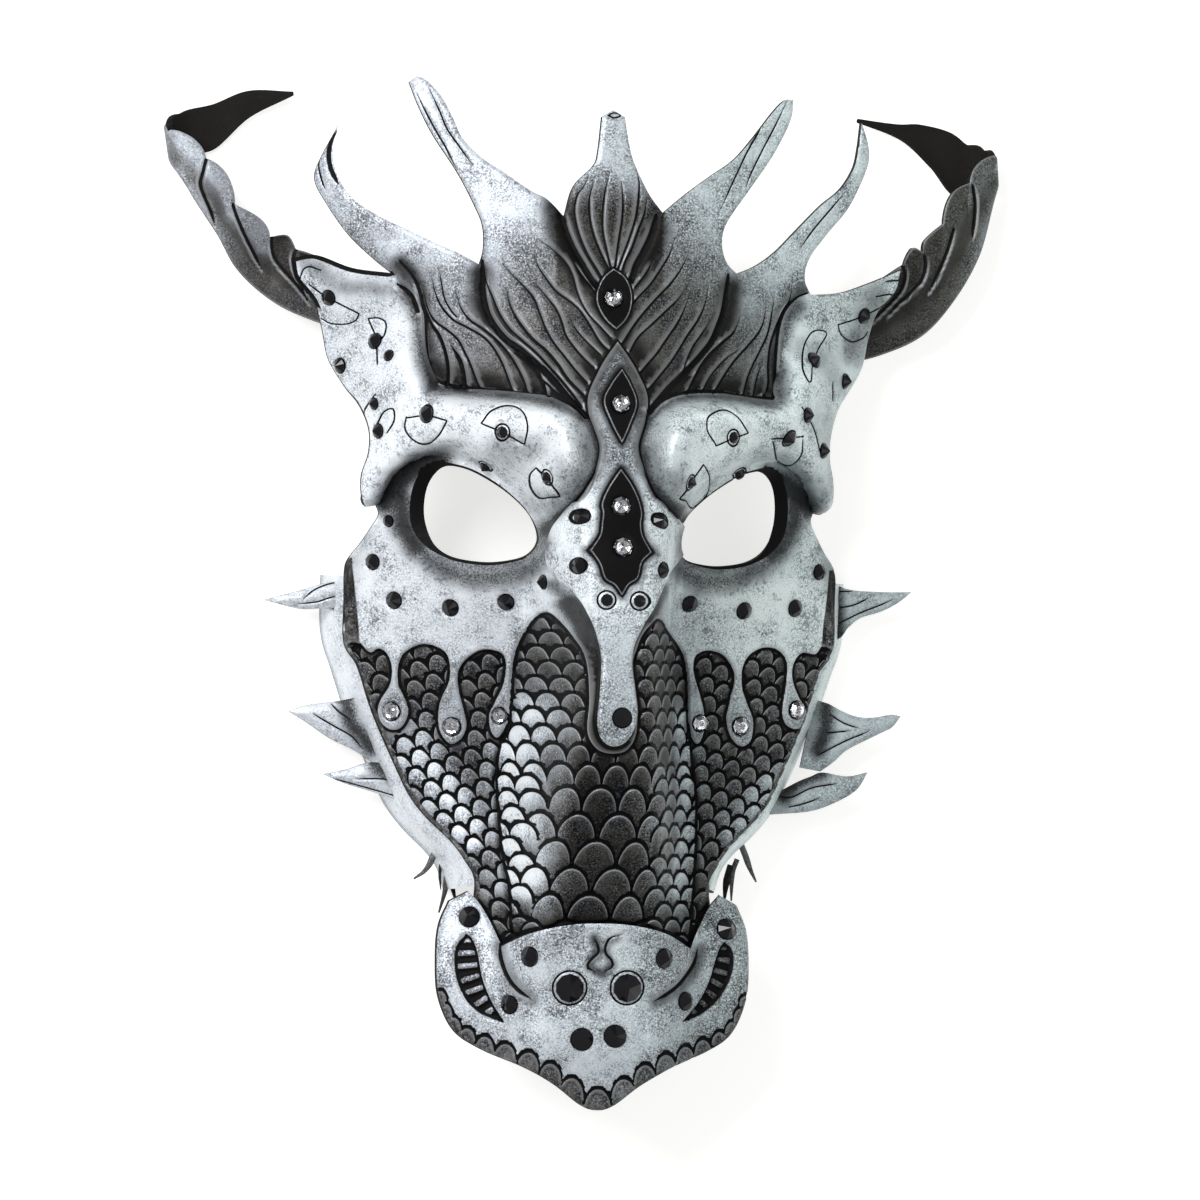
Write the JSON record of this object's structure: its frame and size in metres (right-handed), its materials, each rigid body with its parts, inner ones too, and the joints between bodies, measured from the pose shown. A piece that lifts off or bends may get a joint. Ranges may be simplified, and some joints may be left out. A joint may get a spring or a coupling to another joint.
{
  "type": "leather dragon mask",
  "caption": "Moulded and carved leather dragon mask with eye holes, a crown of spikes, curled horns, scaled snout and studs; it lies on its back, face up.",
  "frame": {"origin": "on the ground under the middle of the whole mask, which lies on its back", "axes": "+Z out of the face, +Y towards the crown, +X to the viewer's right when looking at the face"},
  "size_m": [0.2532, 0.3074, 0.0919],
  "materials": {
    "face_leather": "silver-white dry-brushed paint over black leather, scales in dark pewter",
    "muzzle_leather": "silver-white dry-brushed paint over black leather",
    "jaw_leather": "silver-white dry-brushed paint, black cut edges",
    "horn_leather": "graphite satin paint with silver on the scalloped edge, black flesh side",
    "black_stone": "glossy faceted black stones",
    "clear_crystal": "clear faceted crystals with a silver foil back"
  },
  "bodies": {
    "root": {"crystal_01": "clear_crystal", "crystal_02": "clear_crystal", "crystal_03": "clear_crystal", "crystal_04": "clear_crystal", "crystal_05": "clear_crystal", "crystal_06": "clear_crystal", "crystal_07": "clear_crystal", "crystal_08": "clear_crystal", "crystal_09": "clear_crystal", "crystal_10": "clear_crystal", "face_hide": "face_leather", "horn_left": "horn_leather", "horn_right": "horn_leather", "jaw_left": "jaw_leather", "jaw_right": "jaw_leather", "muzzle_plate": "muzzle_leather", "stud_01": "black_stone", "stud_02": "black_stone", "stud_03": "black_stone", "stud_04": "black_stone", "stud_05": "black_stone", "stud_06": "black_stone", "stud_07": "black_stone", "stud_08": "black_stone", "stud_09": "black_stone", "stud_10": "black_stone", "stud_11": "black_stone", "stud_12": "black_stone", "stud_13": "black_stone", "stud_14": "black_stone", "stud_15": "black_stone", "stud_16": "black_stone", "stud_17": "black_stone", "stud_18": "black_stone", "stud_19": "black_stone", "stud_20": "black_stone", "stud_21": "black_stone", "stud_22": "black_stone", "stud_23": "black_stone", "stud_24": "black_stone", "stud_25": "black_stone", "stud_26": "black_stone", "stud_27": "black_stone", "stud_28": "black_stone", "stud_29": "black_stone", "stud_30": "black_stone", "stud_31": "black_stone", "stud_32": "black_stone", "stud_33": "black_stone", "stud_34": "black_stone", "stud_35": "black_stone", "stud_36": "black_stone", "stud_37": "black_stone", "stud_38": "black_stone", "stud_39": "black_stone", "stud_40": "black_stone", "stud_41": "black_stone", "stud_42": "black_stone", "stud_43": "black_stone"}
  },
  "joints": []
}
